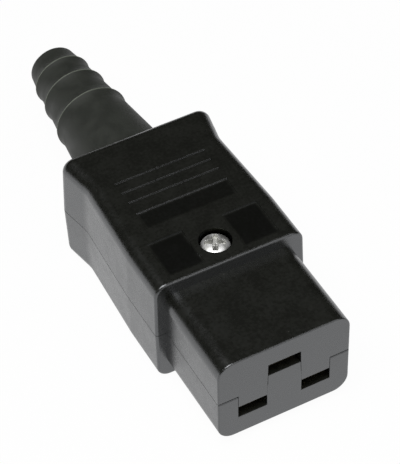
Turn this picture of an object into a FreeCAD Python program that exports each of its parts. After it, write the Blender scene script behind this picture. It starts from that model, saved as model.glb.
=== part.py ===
"""A rewireable C19 connector, the cable socket that feeds a 16 A inlet.

The mating face looks along -Y, the cable leaves along +Y and +Z is up. Inside each
body y = 0 is the mating face, z = 0 the flat underside and x = 0 the plane of
symmetry. The placements then centre the connector over the origin, so that it stands
on its underside with the origin at the bottom centre of its bounding box.
"""
import FreeCAD, Part
import math
import os
import Sketcher
from FreeCAD import Vector

# Driving dimensions, in millimetres and degrees.
DRIVING_DIMENSIONS = {
    # The nose that enters the inlet.
    "nose_width": "27.2",
    "nose_height": "19.9",
    "nose_length": "19.8",
    "nose_rise": "2.05",
    "nose_corner": "3.2",
    "nose_rim_radius": "0.3",
    # The slots for the three flat pins.
    "pin_spacing": "13",
    "row_spacing": "8",
    "line_row_height": "8.05",
    "slot_width": "5.9",
    "slot_height": "2.86",
    "tongue_draft": "1.5",
    # The grip: straight in front, narrowing to a waist and flaring to the rear.
    "grip_width": "31.4",
    "grip_height": "24.6",
    "grip_length": "39.1",
    "straight_length": "11.5",
    "waist_width": "29.6",
    "waist_to_rear": "8.7",
    "rear_width": "32.9",
    "grip_draft": "1.3",
    "long_edge_radius": "2.6",
    "waist_radius": "8",
    "rear_rim_radius": "1.8",
    "front_rim_radius": "0.5",
    # The two moulded halves.
    "parting_height": "12.15",
    "seam_gap": "0.1",
    "wall": "2",
    "rib": "1.2",
    "lip_height": "1",
    "lip_thickness": "0.8",
    "fit_clearance": "0.1",
    # What is moulded into the top of the cover, its places from the grip's front.
    "label_front": "14.6",
    "label_length": "4.3",
    "label_width": "19.1",
    "relief_depth": "0.25",
    "groove_pitch": "2.83",
    "groove_width": "0.45",
    "panel_front": "2",
    "panel_length": "9",
    "panel_inner": "4.1",
    "panel_outer": "11.5",
    "land_radius": "4.6",
    # The housing screw, its place from the grip's front, and its captive nut.
    "screw_position": "5.8",
    "screw_radius": "1.5",
    "screw_length": "20",
    "head_radius": "2.8",
    "head_height": "2",
    "head_depth": "0.6",
    "counterbore_radius": "3.1",
    "recess_width": "0.9",
    "recess_span": "3.2",
    "recess_depth": "1.2",
    "boss_radius": "3.6",
    "nut_across_flats": "5.5",
    "nut_thickness": "2.4",
    "nut_depth": "1.5",
    # The folded contacts, their leaf springs and their terminals.
    "sheet": "0.5",
    "contact_width": "6.2",
    "contact_height": "3.6",
    "contact_length": "11",
    "seam_width": "0.8",
    "cradle_place": "3.3",
    "cradle_pitch": "5",
    "tail_width": "4.2",
    "spring_sheet": "0.3",
    "spring_width": "4.6",
    "spring_length": "9",
    "spring_rise": "0.45",
    "block_width": "6.4",
    "block_length": "6.4",
    "block_floor": "0.9",
    "block_opening": "4.2",
    "block_roof": "2.1",
    "seat_place": "1",
    "seat_pitch": "3.2",
    "line_block_setback": "2.8",
    "line_block_spacing": "15",
    "earth_block_front": "15",
    "earth_tail_height": "8.6",
    "bend_radius": "0.5",
    "terminal_screw_radius": "1.5",
    "terminal_screw_length": "4.6",
    "terminal_head_radius": "2.6",
    "terminal_head_height": "1.7",
    # The cable clamp, its place from the grip's rear.
    "clamp_position": "10.8",
    "clamp_screw_spacing": "18.4",
    "clamp_screw_radius": "1.45",
    "clamp_screw_length": "9.5",
    "clamp_head_radius": "2.6",
    "clamp_head_height": "1.6",
    "clamp_bar_depth": "5",
    "clamp_bar_thickness": "1.8",
    "post_radius": "2.6",
    "cable_radius": "4",
    # The bend relief sleeve.
    "sleeve_length": "37.1",
    "sleeve_radius": "9.4",
    "sleeve_ridge_radius": "7.3",
    "sleeve_tip_radius": "5",
    "sleeve_tip_rounding": "0.6",
    "sleeve_inner_radius": "6.4",
    "ridge_rise": "0.4",
    "ridge_half_width": "2.1",
    "ridge_crest": "0.4",
    "ridge_from_tip": "4.9",
    "ridge_pitch": "5.7",
    "ridge_pitch_growth": "1.9",
    "flange_rim": "0.9",
    "flange_thickness": "2",
    "flange_clearance": "0.3",
    "bulkhead_opening": "6.6",
}

GROOVE_COUNT = 3
RIDGE_COUNT = 3
# The share of a pan head's radius that is flat on top.
HEAD_FLAT_SHARE = 0.62
# An outside edge is looked for this near, in millimetres, to where it should be.
EDGE_SEARCH = 1.0


class Size:
    """A dimension of the sheet, or a formula of such dimensions, with its value."""

    def __init__(self, text, value):
        self.text = text
        self.value = value

    def __float__(self):
        return self.value

    def __abs__(self):
        return Size(f"abs({self.text})", abs(self.value))

    def __neg__(self):
        return Size(f"(-{self.text})", -self.value)

    def __add__(self, other):
        other = as_size(other)
        return Size(f"({self.text} + {other.text})", self.value + other.value)

    def __sub__(self, other):
        other = as_size(other)
        return Size(f"({self.text} - {other.text})", self.value - other.value)

    def __mul__(self, other):
        other = as_size(other)
        return Size(f"({self.text} * {other.text})", self.value * other.value)

    def __truediv__(self, other):
        other = as_size(other)
        return Size(f"({self.text} / {other.text})", self.value / other.value)

    __rmul__ = __mul__
    __radd__ = __add__


def as_size(number):
    """A plain number as a Size; a Size as it is."""
    if isinstance(number, Size):
        return number
    return Size(f"({number})", float(number))


def tan_of(angle):
    """The tangent of an angle given in degrees."""
    return Size(f"tan({angle.text} * 1 deg)", math.tan(math.radians(angle.value)))


def smallest_of(*sizes):
    """The smallest of some sizes."""
    texts = "; ".join(size.text for size in sizes)
    return Size(f"min({texts})", min(size.value for size in sizes))


class SizeTable:
    """The spreadsheet of driving dimensions, each read as an attribute."""

    def __init__(self, document):
        cells = document.addObject("Spreadsheet::Sheet", "Sizes")
        for row, (name, number) in enumerate(DRIVING_DIMENSIONS.items(), start=1):
            cells.set(f"A{row}", name)
            cells.set(f"B{row}", number)
            cells.setAlias(f"B{row}", name)
            setattr(self, name, Size(f"Sizes.{name}", float(number)))


doc = FreeCAD.newDocument("C19Connector")
s = SizeTable(doc)
doc.recompute()

# Places that follow from the driving dimensions.
overall_length = s.nose_length + s.grip_length + s.sleeve_length
nose_top = s.nose_rise + s.nose_height
grip_rear = s.nose_length + s.grip_length
bend_place = s.nose_length + s.straight_length
waist_place = grip_rear - s.waist_to_rear
label_start = s.nose_length + s.label_front
panel_start = s.nose_length + s.panel_front
screw_place = s.nose_length + s.screw_position
clamp_place = grip_rear - s.clamp_position
cavity_front = s.nose_length + s.wall
cavity_rear = grip_rear - s.wall
ceiling = s.grip_height - s.wall
nose_floor = s.nose_rise + s.wall
nose_ceiling = nose_top - s.wall
cover_base = s.parting_height + s.seam_gap
slot_bottom = s.line_row_height - s.slot_height / 2
tongue_top = slot_bottom + s.row_spacing
tongue_foot = s.pin_spacing / 2 - s.slot_width / 2
slot_outer = s.pin_spacing / 2 + s.slot_width / 2
line_contact_bottom = s.line_row_height - s.contact_height / 2
earth_contact_bottom = line_contact_bottom + s.row_spacing
contact_front = s.wall + s.fit_clearance
contact_rear = contact_front + s.contact_length
line_block_front = s.nose_length + s.line_block_setback
head_top = s.grip_height - s.head_depth
head_seat = head_top - s.head_height
nut_seat = s.nut_depth + s.nut_thickness
shell_radius = smallest_of(s.parting_height, s.grip_height - s.parting_height)
flange_radius = smallest_of(s.sleeve_radius + s.flange_rim,
                            shell_radius - s.rib / 2 - s.flange_clearance)
flange_groove_radius = flange_radius + s.flange_clearance
flange_rear = cavity_rear - s.fit_clearance
flange_front = flange_rear - s.flange_thickness
bulkhead_rear = flange_front - s.fit_clearance
bulkhead_front = bulkhead_rear - s.rib
seat_height = s.parting_height - s.fit_clearance


# ---------------------------------------------------------------- sketch tools
def plane_of(body, role):
    """One of the body's own origin planes."""
    for feature in body.Origin.OriginFeatures:
        if feature.Role == role + "_Plane":
            return feature
    raise ValueError(role)


def new_body(label, x=0, y=0, z=0):
    """A body whose own origin lies at x, y, z, with the shift to the middle added."""
    body = doc.addObject("PartDesign::Body", label)
    body.Label = label
    body.setExpression("Placement.Base.x", as_size(x).text)
    body.setExpression("Placement.Base.y", (as_size(y) - overall_length / 2).text)
    body.setExpression("Placement.Base.z", as_size(z).text)
    return body


def place(sketch, kind, geometry, point, coordinate):
    """Hold one coordinate of a sketch point to a formula, or to an axis if it is 0."""
    if isinstance(coordinate, Size):
        index = sketch.addConstraint(
            Sketcher.Constraint(kind, -1, 1, geometry, point, coordinate.value))
        sketch.setExpression(f"Constraints[{index}]", coordinate.text)
    else:
        axis = -2 if kind == "DistanceX" else -1
        sketch.addConstraint(Sketcher.Constraint("PointOnObject", geometry, point, axis))


def add_circle(sketch, x, y, radius):
    """A full circle held by its centre and radius."""
    centre = Vector(float(x), float(y), 0)
    index = sketch.addGeometry(Part.Circle(centre, Vector(0, 0, 1), float(radius)), False)
    place(sketch, "DistanceX", index, 3, x)
    place(sketch, "DistanceY", index, 3, y)
    held = sketch.addConstraint(Sketcher.Constraint("Radius", index, float(radius)))
    sketch.setExpression(f"Constraints[{held}]", radius.text)


def arc_radius(start, end, rise):
    """The radius of the arc that rises by rise over the chord from start to end."""
    across = as_size(end[0]) - as_size(start[0])
    along = as_size(end[1]) - as_size(start[1])
    chord_squared = across * across + along * along
    return (chord_squared / 4 + rise * rise) / (rise * 2)


def add_outline(sketch, corners):
    """A closed outline; a corner (x, y, rise, side) starts an arc.

    The arc rises by rise from its chord, to the right of the way round for side 1 and
    to the left for side -1.
    """
    count = len(corners)
    first = sketch.GeometryCount
    starts, ends = [], []
    for i, corner in enumerate(corners):
        following = corners[(i + 1) % count]
        a = Vector(float(corner[0]), float(corner[1]), 0)
        b = Vector(float(following[0]), float(following[1]), 0)
        is_arc = len(corner) == 4
        turned = is_arc and corner[3] < 0
        if is_arc:
            way = (b - a).normalize()
            middle = (a + b) * 0.5 + Vector(way.y, -way.x, 0) * (float(corner[2]) * corner[3])
            sketch.addGeometry(Part.Arc(a, middle, b), False)
            radius = arc_radius(corner, following, corner[2])
            held = sketch.addConstraint(
                Sketcher.Constraint("Radius", first + i, float(radius)))
            sketch.setExpression(f"Constraints[{held}]", radius.text)
        else:
            sketch.addGeometry(Part.LineSegment(a, b), False)
        starts.append(2 if turned else 1)
        ends.append(1 if turned else 2)
    for i, corner in enumerate(corners):
        following = (i + 1) % count
        sketch.addConstraint(Sketcher.Constraint(
            "Coincident", first + i, ends[i], first + following, starts[following]))
        place(sketch, "DistanceX", first + i, starts[i], corner[0])
        place(sketch, "DistanceY", first + i, starts[i], corner[1])


def new_sketch(body, name, role, outlines=(), circles=(), shift=None, axis="z"):
    """A sketch on one of the body's planes, moved by shift along its own axis."""
    sketch = body.newObject("Sketcher::SketchObject", name)
    sketch.AttachmentSupport = (plane_of(body, role), "")
    sketch.MapMode = "FlatFace"
    if shift is not None:
        sketch.setExpression(f"AttachmentOffset.Base.{axis}", shift.text)
    for corners in outlines:
        add_outline(sketch, corners)
    for circle in circles:
        add_circle(sketch, *circle)
    return sketch


def finish_feature(body, feature, grows):
    """Recompute, and stop if the feature did not add or cut as it should."""
    before = 0.0 if body.Tip in (None, feature) else body.Tip.Shape.Volume
    body.Tip = feature
    doc.recompute()
    change = feature.Shape.Volume - before
    if (change > 0) != grows or abs(change) < 1e-6:
        raise RuntimeError(f"{feature.Label} changes the volume by {change:.4f}")
    return feature


def extrude(body, name, kind, sketch, length, reverse=False, both_ways=False, draft=None):
    """A Pad or a Pocket of the sketch."""
    last = body.Tip
    feature = body.newObject(f"PartDesign::{kind}", name)
    feature.Profile = sketch
    feature.setExpression("Length", length.text)
    feature.Reversed = reverse
    feature.Midplane = both_ways
    if draft is not None:
        feature.setExpression("TaperAngle", (-draft).text)
    body.Tip = last
    return finish_feature(body, feature, grows=kind == "Pad")


def pad(body, name, sketch, length, **options):
    """Material along the sketch's normal."""
    return extrude(body, name, "Pad", sketch, length, **options)


def pocket(body, name, sketch, length, **options):
    """A cut against the sketch's normal."""
    return extrude(body, name, "Pocket", sketch, length, **options)


def revolve(body, name, kind, sketch, axis="H_Axis"):
    """A Revolution or a Groove of the sketch, round one of its own axes."""
    last = body.Tip
    feature = body.newObject(f"PartDesign::{kind}", name)
    feature.Profile = sketch
    feature.ReferenceAxis = (sketch, [axis])
    feature.Angle = 360
    body.Tip = last
    return finish_feature(body, feature, grows=kind == "Revolution")


def dress(body, name, kind, size, chosen):
    """A Fillet or a Chamfer on the edges that chosen picks by their box."""
    base = body.Tip
    edges = [f"Edge{i}" for i, edge in enumerate(base.Shape.Edges, start=1)
             if chosen(edge.BoundBox)]
    if not edges:
        raise RuntimeError(f"{name} finds no edge")
    feature = body.newObject(f"PartDesign::{kind}", name)
    feature.Base = (base, edges)
    feature.setExpression("Radius" if kind == "Fillet" else "Size", size.text)
    body.Tip = feature
    doc.recompute()
    if feature.Shape.isNull() or not feature.Shape.isValid():
        raise RuntimeError(f"{name} makes no valid shape")
    return feature


def rectangle(x_low, y_low, x_high, y_high):
    """The four corners of a rectangle."""
    return [(x_low, y_low), (x_high, y_low), (x_high, y_high), (x_low, y_high)]


def mirrored(corners):
    """The right half of a symmetrical outline, and its left half to close it."""
    return corners + [(-x, y) for x, y in reversed(corners)]


def pair_of(first, pitch):
    """Two places, one pitch apart."""
    return first, first + pitch


def near(a, b, within=1e-3):
    """Whether two places agree, to a micrometre where nothing else is said."""
    return abs(float(a) - float(b)) < within


def on_side(side, x):
    """The same distance from the plane of symmetry, to the right or to the left."""
    return as_size(x) * side


# ------------------------------------------------------------- the two mouldings
def grip_corners(inset):
    """The right half of the grip's plan, moved in from the outside by inset."""
    return [
        (s.grip_width / 2 - inset, s.nose_length + inset),
        (s.grip_width / 2 - inset, bend_place),
        (s.waist_width / 2 - inset, waist_place),
        (s.rear_width / 2 - inset, grip_rear - inset),
    ]


def lip_corners(side, outer, inner):
    """The strip along one side of the grip between two insets, front to waist."""
    grip, waist = s.grip_width / 2, s.waist_width / 2
    corners = [
        (grip - outer, cavity_front),
        (grip - outer, bend_place),
        (waist - outer, waist_place),
        (waist - inner, waist_place),
        (grip - inner, bend_place),
        (grip - inner, cavity_front),
    ]
    return [(on_side(side, x), y) for x, y in corners]


def block(body, name, corners, low, high, kind="Pad"):
    """A straight Pad or Pocket of a plan outline between two heights."""
    sketch = new_sketch(body, name + "_plan", "XY", [corners], shift=low)
    return extrude(body, name, kind, sketch, high - low, reverse=kind == "Pocket")


def slab(body, name, corners, front, rear, kind="Pad"):
    """A Pad or Pocket of a front-view outline between two distances from the face."""
    sketch = new_sketch(body, name + "_view", "XZ", [corners], shift=-front)
    return extrude(body, name, kind, sketch, rear - front, reverse=kind == "Pad")


def drill(body, name, circles, low, high, kind="Pocket"):
    """Upright round holes, or posts for kind Pad, between two heights."""
    sketch = new_sketch(body, name + "_plan", "XY", circles=circles, shift=low)
    return extrude(body, name, kind, sketch, high - low, reverse=kind == "Pocket")


def bore_along(body, name, radius, front, rear, kind="Pocket"):
    """A round hole along the cable's axis."""
    sketch = new_sketch(body, name + "_view", "XZ", shift=-front,
                        circles=[(0, s.parting_height, radius)])
    return extrude(body, name, kind, sketch, rear - front, reverse=kind == "Pad")


def shell_blank(body, base, outer, nose_outer, upward):
    """The outside of one half, still sharp: the drafted grip and the nose."""
    name = body.Label
    plan = new_sketch(body, name + "_grip_plan", "XY", [mirrored(grip_corners(as_size(0)))],
                      shift=base)
    height = outer - base if upward else base - outer
    pad(body, name + "_grip", plan, height, reverse=not upward, draft=s.grip_draft)
    half = s.nose_width / 2
    nose_plan = new_sketch(body, name + "_nose_plan", "XY", shift=base,
                           outlines=[rectangle(-half, 0, half, cavity_front)])
    nose_height = nose_outer - base if upward else base - nose_outer
    pad(body, name + "_nose", nose_plan, nose_height, reverse=not upward)


def round_outside(body, base, outer, nose_outer):
    """Round the outside edges of one half, once everything else is cut."""
    name = body.Label
    height = abs(outer - base)
    front_limit = float(s.nose_length) + EDGE_SEARCH
    side_limit = float(s.waist_width) / 2 - EDGE_SEARCH

    def at_place(box, y):
        return near(box.YMin, y, EDGE_SEARCH) and near(box.YMax, y, EDGE_SEARCH)

    def on_flank(box):
        return box.XMin > side_limit or box.XMax < -side_limit

    def waist(box):
        return at_place(box, waist_place) and on_flank(box) and box.ZLength > float(height) / 2

    def long_edge(box):
        return near(box.ZMin, outer) and near(box.ZMax, outer) and on_flank(box) \
            and box.YMax > front_limit

    def rear_rim(box):
        return at_place(box, grip_rear) and not near(box.ZMin + box.ZMax, base * 2) \
            and (max(-box.XMin, box.XMax) > side_limit or near(box.ZMin, outer))

    def front_edge(box):
        return box.YMax < front_limit and near(box.ZMax, outer) \
            and box.YLength < EDGE_SEARCH and box.XLength > float(s.nose_width) / 2

    def nose_edge(box):
        return near(abs(box.XMin), s.nose_width / 2) and near(box.XMax, box.XMin) \
            and near(box.ZMin, nose_outer) and near(box.ZMax, nose_outer)

    def nose_rim(box):
        return near(box.YMin, 0) and near(box.YMax, 0) \
            and (near(max(-box.XMin, box.XMax), s.nose_width / 2)
                 or near(box.ZMin, nose_outer) or near(box.ZMax, nose_outer))

    # The front rim's rounding runs on down the sides, in the strip beside the nose.
    side_strip = (s.grip_width - s.nose_width) / 2 - height * tan_of(s.grip_draft)
    front_radius = smallest_of(s.front_rim_radius, side_strip / 2, abs(outer - nose_outer) / 2)
    dress(body, name + "_waist", "Fillet", s.waist_radius, waist)
    dress(body, name + "_long_edges", "Fillet", s.long_edge_radius, long_edge)
    dress(body, name + "_rear_rim", "Fillet", s.rear_rim_radius, rear_rim)
    dress(body, name + "_front_rim", "Fillet", front_radius, front_edge)
    dress(body, name + "_nose_corners", "Fillet", s.nose_corner, nose_edge)
    dress(body, name + "_nose_rim", "Fillet", s.nose_rim_radius, nose_rim)


def hollow(body, base, inner, nose_inner, upward):
    """The inside of one half, open at the parting plane."""
    name = body.Label
    depth = inner - base if upward else base - inner
    plan = new_sketch(body, name + "_cavity_plan", "XY", [mirrored(grip_corners(s.wall))],
                      shift=base)
    pocket(body, name + "_cavity", plan, depth, reverse=upward)
    half = s.nose_width / 2 - s.wall
    nose_plan = new_sketch(body, name + "_nose_cavity_plan", "XY", shift=base,
                           outlines=[rectangle(-half, s.wall, half, cavity_front + s.wall)])
    nose_depth = nose_inner - base if upward else base - nose_inner
    pocket(body, name + "_nose_cavity", nose_plan, nose_depth, reverse=upward)


def tongue_side(height):
    """How far the drafted side of the tongue lies from the middle at a height."""
    return tongue_foot - (height - slot_bottom) * tan_of(s.tongue_draft)


def seat_sleeve(body, low, high):
    """The bulkhead before the sleeve's flange, the flange's groove and the way out."""
    name = body.Label
    half = s.waist_width / 2 - s.wall / 2
    slab(body, name + "_bulkhead", rectangle(-half, low, half, high),
         bulkhead_front, bulkhead_rear)
    seat_half = flange_groove_radius + s.rib
    slab(body, name + "_sleeve_seat", rectangle(-seat_half, low, seat_half, high),
         bulkhead_rear, cavity_rear + s.wall / 2)
    bore_along(body, name + "_bulkhead_opening", s.bulkhead_opening, bulkhead_front,
               bulkhead_rear)
    bore_along(body, name + "_flange_groove", flange_groove_radius, bulkhead_rear,
               cavity_rear)
    bore_along(body, name + "_sleeve_opening", s.sleeve_radius + s.seam_gap, cavity_rear,
               grip_rear)


def make_cover():
    """The upper half: teeth round the tongue, screw well, label recess and grip ribs."""
    cover = new_body("top_cover")
    shell_blank(cover, cover_base, s.grip_height, nose_top, upward=True)
    hollow(cover, cover_base, ceiling, nose_ceiling, upward=True)
    tooth_bottom = slot_bottom + s.slot_height
    earth_slot_top = tongue_top + s.slot_height
    for side, label in ((-1, "left"), (1, "right")):
        tooth = rectangle(on_side(side, tongue_side(tooth_bottom) + s.seam_gap), tooth_bottom,
                          on_side(side, slot_outer), cover_base + s.wall)
        slab(cover, f"{label}_tooth", tooth, as_size(0), s.wall)
    notch = mirrored([
        (tongue_side(tooth_bottom) + s.seam_gap, tooth_bottom),
        (tongue_side(earth_slot_top) + s.seam_gap, earth_slot_top),
    ])
    slab(cover, "earth_slot", notch, as_size(0), s.wall, kind="Pocket")

    # Combs hold the line contacts down between them and stand over the earth contact.
    leg_outer = s.pin_spacing / 2 + s.contact_width / 4
    leg_inner = s.contact_width / 2 + s.rib
    line_top = line_contact_bottom + s.contact_height + s.fit_clearance
    comb = mirrored([
        (leg_inner, line_top + s.row_spacing),
        (leg_inner, line_top),
        (leg_outer, line_top),
        (leg_outer, nose_ceiling + s.rib / 2),
    ])
    for number, front in enumerate(pair_of(contact_front + s.cradle_place, s.cradle_pitch), 1):
        slab(cover, f"comb_{number}", comb, front, front + s.rib)

    seat_sleeve(cover, cover_base, ceiling + s.wall / 2)

    # The screw well: a post down to the housing's own post, a counterbore and a hole.
    drill(cover, "screw_post", [(0, screw_place, s.boss_radius)],
          s.parting_height, ceiling + s.wall / 2, kind="Pad")
    panel = rectangle(s.panel_inner, panel_start, s.panel_outer,
                      panel_start + s.panel_length)
    relief = s.grip_height - s.relief_depth
    block(cover, "right_panel", panel, relief, s.grip_height, kind="Pocket")
    left_panel = [(-x, y) for x, y in reversed(panel)]
    block(cover, "left_panel", left_panel, relief, s.grip_height, kind="Pocket")
    drill(cover, "screw_land", [(0, screw_place, s.land_radius)],
          relief - s.wall / 2, s.grip_height, kind="Pad")
    drill(cover, "counterbore", [(0, screw_place, s.counterbore_radius)],
          head_seat, s.grip_height)
    drill(cover, "screw_hole", [(0, screw_place, s.screw_radius + s.fit_clearance)],
          s.parting_height, head_seat)

    for side, label in ((-1, "left"), (1, "right")):
        rebate = lip_corners(side, s.wall - s.lip_thickness - s.fit_clearance,
                             s.wall + s.fit_clearance)
        block(cover, f"{label}_rebate", rebate, cover_base,
              s.parting_height + s.lip_height + s.fit_clearance, kind="Pocket")

    # The label recess, and the grooves that make the grip ribs behind it.
    half_label = s.label_width / 2
    label_rear = label_start + s.label_length
    block(cover, "label_recess", rectangle(-half_label, label_start, half_label, label_rear),
          relief, s.grip_height, kind="Pocket")
    groove = rectangle(-half_label, label_rear + s.groove_pitch, half_label,
                       label_rear + s.groove_pitch + s.groove_width)
    block(cover, "groove", groove, relief, s.grip_height, kind="Pocket")
    pattern = cover.newObject("PartDesign::LinearPattern", "grooves")
    pattern.Originals = [cover.Tip]
    pattern.Direction = (plane_of(cover, "XZ"), [""])
    pattern.Reversed = True
    pattern.setExpression("Length", (s.groove_pitch * (GROOVE_COUNT - 1)).text)
    pattern.Occurrences = GROOVE_COUNT
    finish_feature(cover, pattern, grows=False)
    round_outside(cover, cover_base, s.grip_height, nose_top)
    return cover


def make_housing():
    """The lower half: the tongue, cradles, terminal seats, posts and nut pocket."""
    housing = new_body("bottom_housing")
    shell_blank(housing, s.parting_height, as_size(0), s.nose_rise, upward=False)
    hollow(housing, s.parting_height, s.wall, nose_floor, upward=False)
    for side, label in ((-1, "left"), (1, "right")):
        slot = rectangle(on_side(side, tongue_side(slot_bottom)), slot_bottom,
                         on_side(side, slot_outer + s.seam_gap), s.parting_height)
        slab(housing, f"{label}_slot", slot, as_size(0), s.wall, kind="Pocket")
    tongue = mirrored([
        (tongue_side(slot_bottom), slot_bottom),
        (tongue_side(tongue_top), tongue_top),
    ])
    slab(housing, "tongue_front", tongue, as_size(0), s.wall)

    # Behind its front the tongue is two walls that carry the earth contact.
    wall_outer = tongue_side(tongue_top) - s.fit_clearance
    wall_inner = wall_outer - s.rib
    for side, label in ((-1, "left"), (1, "right")):
        wall = rectangle(on_side(side, wall_inner), s.wall / 2 + s.fit_clearance,
                         on_side(side, wall_outer), contact_rear)
        block(housing, f"{label}_tongue_wall", wall, nose_floor - s.wall / 2,
              earth_contact_bottom, kind="Pad")
        cradle_outer = s.nose_width / 2 - s.wall / 2
        cheek = s.pin_spacing / 2 + s.contact_width / 2 + s.fit_clearance
        cradle = [
            (on_side(side, wall_outer), nose_floor - s.wall / 2),
            (on_side(side, cradle_outer), nose_floor - s.wall / 2),
            (on_side(side, cradle_outer), s.line_row_height + s.contact_height / 2),
            (on_side(side, cheek), s.line_row_height + s.contact_height / 2),
            (on_side(side, cheek), line_contact_bottom),
            (on_side(side, wall_outer), line_contact_bottom),
        ]
        cradles = pair_of(contact_front + s.cradle_place, s.cradle_pitch)
        for number, front in enumerate(cradles, 1):
            slab(housing, f"{label}_cradle_{number}", cradle, front, front + s.rib)
    for side, label in ((-1, "left"), (1, "right")):
        lip = lip_corners(side, s.wall - s.lip_thickness, s.wall)
        block(housing, f"{label}_lip", lip, s.parting_height,
              s.parting_height + s.lip_height, kind="Pad")
    make_terminal_seats(housing)
    seat_sleeve(housing, s.wall / 2, s.parting_height)
    make_clamp_posts(housing)

    # The post under the screw, widened at its foot round the nut pocket.
    drill(housing, "screw_post", [(0, screw_place, s.boss_radius)],
          s.wall / 2, s.parting_height, kind="Pad")
    nut_corner = (s.nut_across_flats / 2 + s.fit_clearance) / math.cos(math.pi / 6)
    drill(housing, "nut_boss", [(0, screw_place, nut_corner + s.rib)],
          s.wall / 2, nut_seat + s.rib, kind="Pad")
    hexagon = [(nut_corner * math.cos(math.radians(60 * i)),
                screw_place + nut_corner * math.sin(math.radians(60 * i)))
               for i in range(6)]
    block(housing, "nut_pocket", hexagon, as_size(0), nut_seat, kind="Pocket")
    drill(housing, "screw_hole", [(0, screw_place, s.screw_radius + s.fit_clearance)],
          nut_seat, s.parting_height)
    round_outside(housing, s.parting_height, as_size(0), s.nose_rise)
    return housing


def make_terminal_seats(housing):
    """Low walls under the three terminal blocks."""
    block_bottom = line_contact_bottom - s.block_floor
    half = s.block_width / 2
    for side, label in ((-1, "left"), (1, "right")):
        centre = s.line_block_spacing / 2
        seats = pair_of(line_block_front + s.seat_place, s.seat_pitch)
        for number, front in enumerate(seats, 1):
            seat = rectangle(on_side(side, centre - half), front,
                             on_side(side, centre + half), front + s.rib)
            block(housing, f"{label}_seat_{number}", seat, s.wall / 2, block_bottom, kind="Pad")
    earth_bottom = s.earth_tail_height - s.block_floor
    seats = pair_of(s.earth_block_front + s.seat_place, s.seat_pitch)
    for number, front in enumerate(seats, 1):
        seat = rectangle(-half, front, half, front + s.rib)
        block(housing, f"earth_seat_{number}", seat, nose_floor - s.wall / 2, earth_bottom,
              kind="Pad")


def make_clamp_posts(housing):
    """Two posts for the clamp's screws and a saddle for the cable between them."""
    spots = [(on_side(side, s.clamp_screw_spacing / 2), clamp_place) for side in (-1, 1)]
    saddle_half = s.clamp_screw_spacing / 2
    depth = s.clamp_bar_depth / 2
    saddle = rectangle(-saddle_half, s.wall / 2, saddle_half, seat_height)
    slab(housing, "saddle", saddle, clamp_place - depth, clamp_place + depth)
    bore_along(housing, "saddle_groove", s.cable_radius, clamp_place - depth,
               clamp_place + depth)
    drill(housing, "clamp_posts", [(x, y, s.post_radius) for x, y in spots],
          s.wall / 2, seat_height, kind="Pad")
    drill(housing, "clamp_holes",
          [(x, y, s.clamp_screw_radius + s.fit_clearance) for x, y in spots],
          seat_height + s.clamp_bar_thickness - s.clamp_screw_length - s.rib, seat_height)


# ---------------------------------------------------------------- fasteners
def cross_outline(width, span):
    """The plan of a cross recess."""
    w, reach = width / 2, span / 2
    return [(reach, -w), (reach, w), (w, w), (w, reach), (-w, reach), (-w, w),
            (-reach, w), (-reach, -w), (-w, -w), (-w, -reach), (w, -reach), (w, -w)]


def make_screw(label, x, y, seat, shank, head, recess):
    """A pan-head screw, its own origin where the head's underside meets its axis."""
    (radius, length), (head_radius, head_height) = shank, head
    point = radius / 3
    screw = new_body(label, x, y, seat)
    profile = new_sketch(screw, label + "_profile", "YZ", [[
        (0, -length),
        (radius - point, -length),
        (radius, -length + point),
        (radius, 0),
        (head_radius, 0),
        (head_radius, head_height / 2, head_height / 10, 1),
        (head_radius * HEAD_FLAT_SHARE, head_height),
        (0, head_height),
    ]])
    revolve(screw, label + "_turned", "Revolution", profile, axis="V_Axis")
    cut = new_sketch(screw, label + "_recess_plan", "XY", [recess],
                     shift=head_height - s.recess_depth)
    pocket(screw, label + "_recess", cut, head_height, reverse=True)
    return screw


def make_nut():
    """The captive hexagon nut."""
    nut = new_body("housing_nut", 0, screw_place, s.nut_depth)
    corner = s.nut_across_flats / 2 / math.cos(math.pi / 6)
    hexagon = [(corner * math.cos(math.radians(60 * i)), corner * math.sin(math.radians(60 * i)))
               for i in range(6)]
    hexagon[0] = (corner, 0)
    hexagon[3] = (-corner, 0)
    plan = new_sketch(nut, "nut_plan", "XY", [hexagon],
                      [(0, 0, s.screw_radius + s.fit_clearance / 2)])
    pad(nut, "nut_blank", plan, s.nut_thickness)
    return nut


# ------------------------------------------------------------- electrical parts
def quarter_rise(radius):
    """How far a quarter circle rises from its chord."""
    return radius * (1 - math.cos(math.pi / 4))


def make_contact(label, x, bottom, tail):
    """A receptacle folded from sheet, its seam on top; tail adds what lies behind it."""
    contact = new_body(label, x, contact_front, bottom)
    w, gap, t = s.contact_width / 2, s.seam_width / 2, s.sheet
    high = s.contact_height
    folded = [(gap, high), (w, high), (w, 0), (-w, 0), (-w, high), (-gap, high),
              (-gap, high - t), (-w + t, high - t), (-w + t, t), (w - t, t),
              (w - t, high - t), (gap, high - t)]
    view = new_sketch(contact, label + "_folded", "XZ", [folded])
    pad(contact, label + "_receptacle", view, s.contact_length, reverse=True)

    def outer_bend(box):
        return near(box.XMin, box.XMax) and near(abs(box.XMin), w) and near(box.ZMin, box.ZMax) \
            and near(box.YLength, s.contact_length)

    dress(contact, label + "_bends", "Fillet", s.bend_radius, outer_bend)
    tail(contact, label)
    return contact


def straight_tail(side):
    """The flat tail of a line contact, led outwards past the screw post."""
    def add(contact, label):
        centre = (s.line_block_spacing - s.pin_spacing) / 2
        low, high = centre - s.tail_width / 2, centre + s.tail_width / 2
        end = line_block_front + s.block_length + s.sheet - contact_front
        plan = new_sketch(contact, label + "_tail_plan", "XY", [
            rectangle(on_side(side, low), s.contact_length, on_side(side, high), end)])
        pad(contact, label + "_tail", plan, s.sheet)
    return add


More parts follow.
